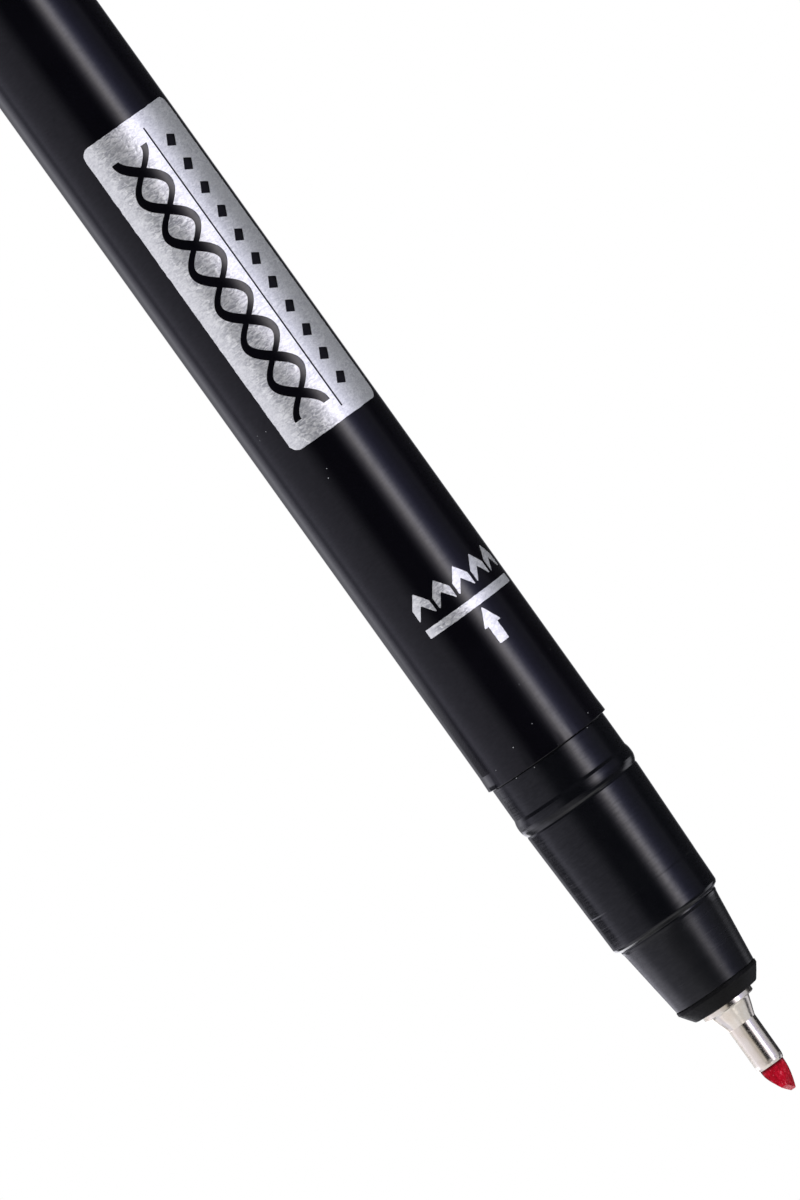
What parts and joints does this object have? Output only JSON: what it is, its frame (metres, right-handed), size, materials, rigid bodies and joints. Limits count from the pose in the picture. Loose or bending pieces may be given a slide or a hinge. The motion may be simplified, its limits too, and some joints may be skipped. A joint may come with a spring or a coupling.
{
  "type": "calligraphy marker",
  "caption": "Slim black calligraphy marker with a fibre chisel nib in a metal sleeve, silver foil marks, and a clip cap that slides on to a printed line.",
  "frame": {"origin": "on the pen's axis, in the plane of the barrel's front rim, where the front section is pressed in", "axes": "+Z along the pen's axis towards its rear end; the nib points to -Z and the cap, drawn off, stands below it; -Y is the side the printed arrow faces, 25 degrees round towards +X"},
  "size_m": [0.0132, 0.0149, 0.199],
  "materials": {
    "barrel_gloss": "black polypropylene, high gloss with faint draw lines",
    "section_satin": "black moulded plastic, satin, fine turning rings from the mould",
    "holder_matte": "black moulded plastic, matte and slightly rough",
    "ferrule_metal": "nickel-plated, polished, slightly warm",
    "nib_fibre": "bonded fibre soaked with crimson ink",
    "reservoir_fibre": "bonded polyester fibre, ink-soaked",
    "wrap_film": "clear film",
    "plug_plastic": "black moulded plastic, satin end",
    "silver_foil": "hot-stamped silver foil with a fine wrinkled grain",
    "cap_gloss": "black moulded plastic, gloss",
    "seal_plastic": "soft natural polyethylene",
    "crown_red": "crimson moulded plastic, the ink's colour",
    "clip_steel": "sprung stainless steel, lightly brushed"
  },
  "bodies": {
    "pen": {"barrel": "barrel_gloss", "front_section": "section_satin", "nib_holder": "holder_matte", "nib_ferrule": "ferrule_metal", "nib": "nib_fibre", "ink_reservoir": "reservoir_fibre", "reservoir_wrap": "wrap_film", "end_plug": "plug_plastic", "label_foil": "silver_foil", "seat_mark_foil": "silver_foil"},
    "cap": {"cap_shell": "cap_gloss", "cap_inner_seal": "seal_plastic", "cap_crown": "crown_red"},
    "clip": {"cap_clip": "clip_steel"}
  },
  "joints": [
    {"name": "cap_slide", "type": "slide", "parent": "pen", "child": "cap", "axis": [0, 0, 1], "range_m": [0, 0.05963]},
    {"name": "clip_flex", "type": "hinge", "parent": "cap", "child": "clip", "pos_m": [0.00279, -0.00598, -0.09583], "axis": [0.9063, 0.4226, 0], "range_deg": [0, 6], "stiffness_Nm_per_rad": 0.5}
  ]
}
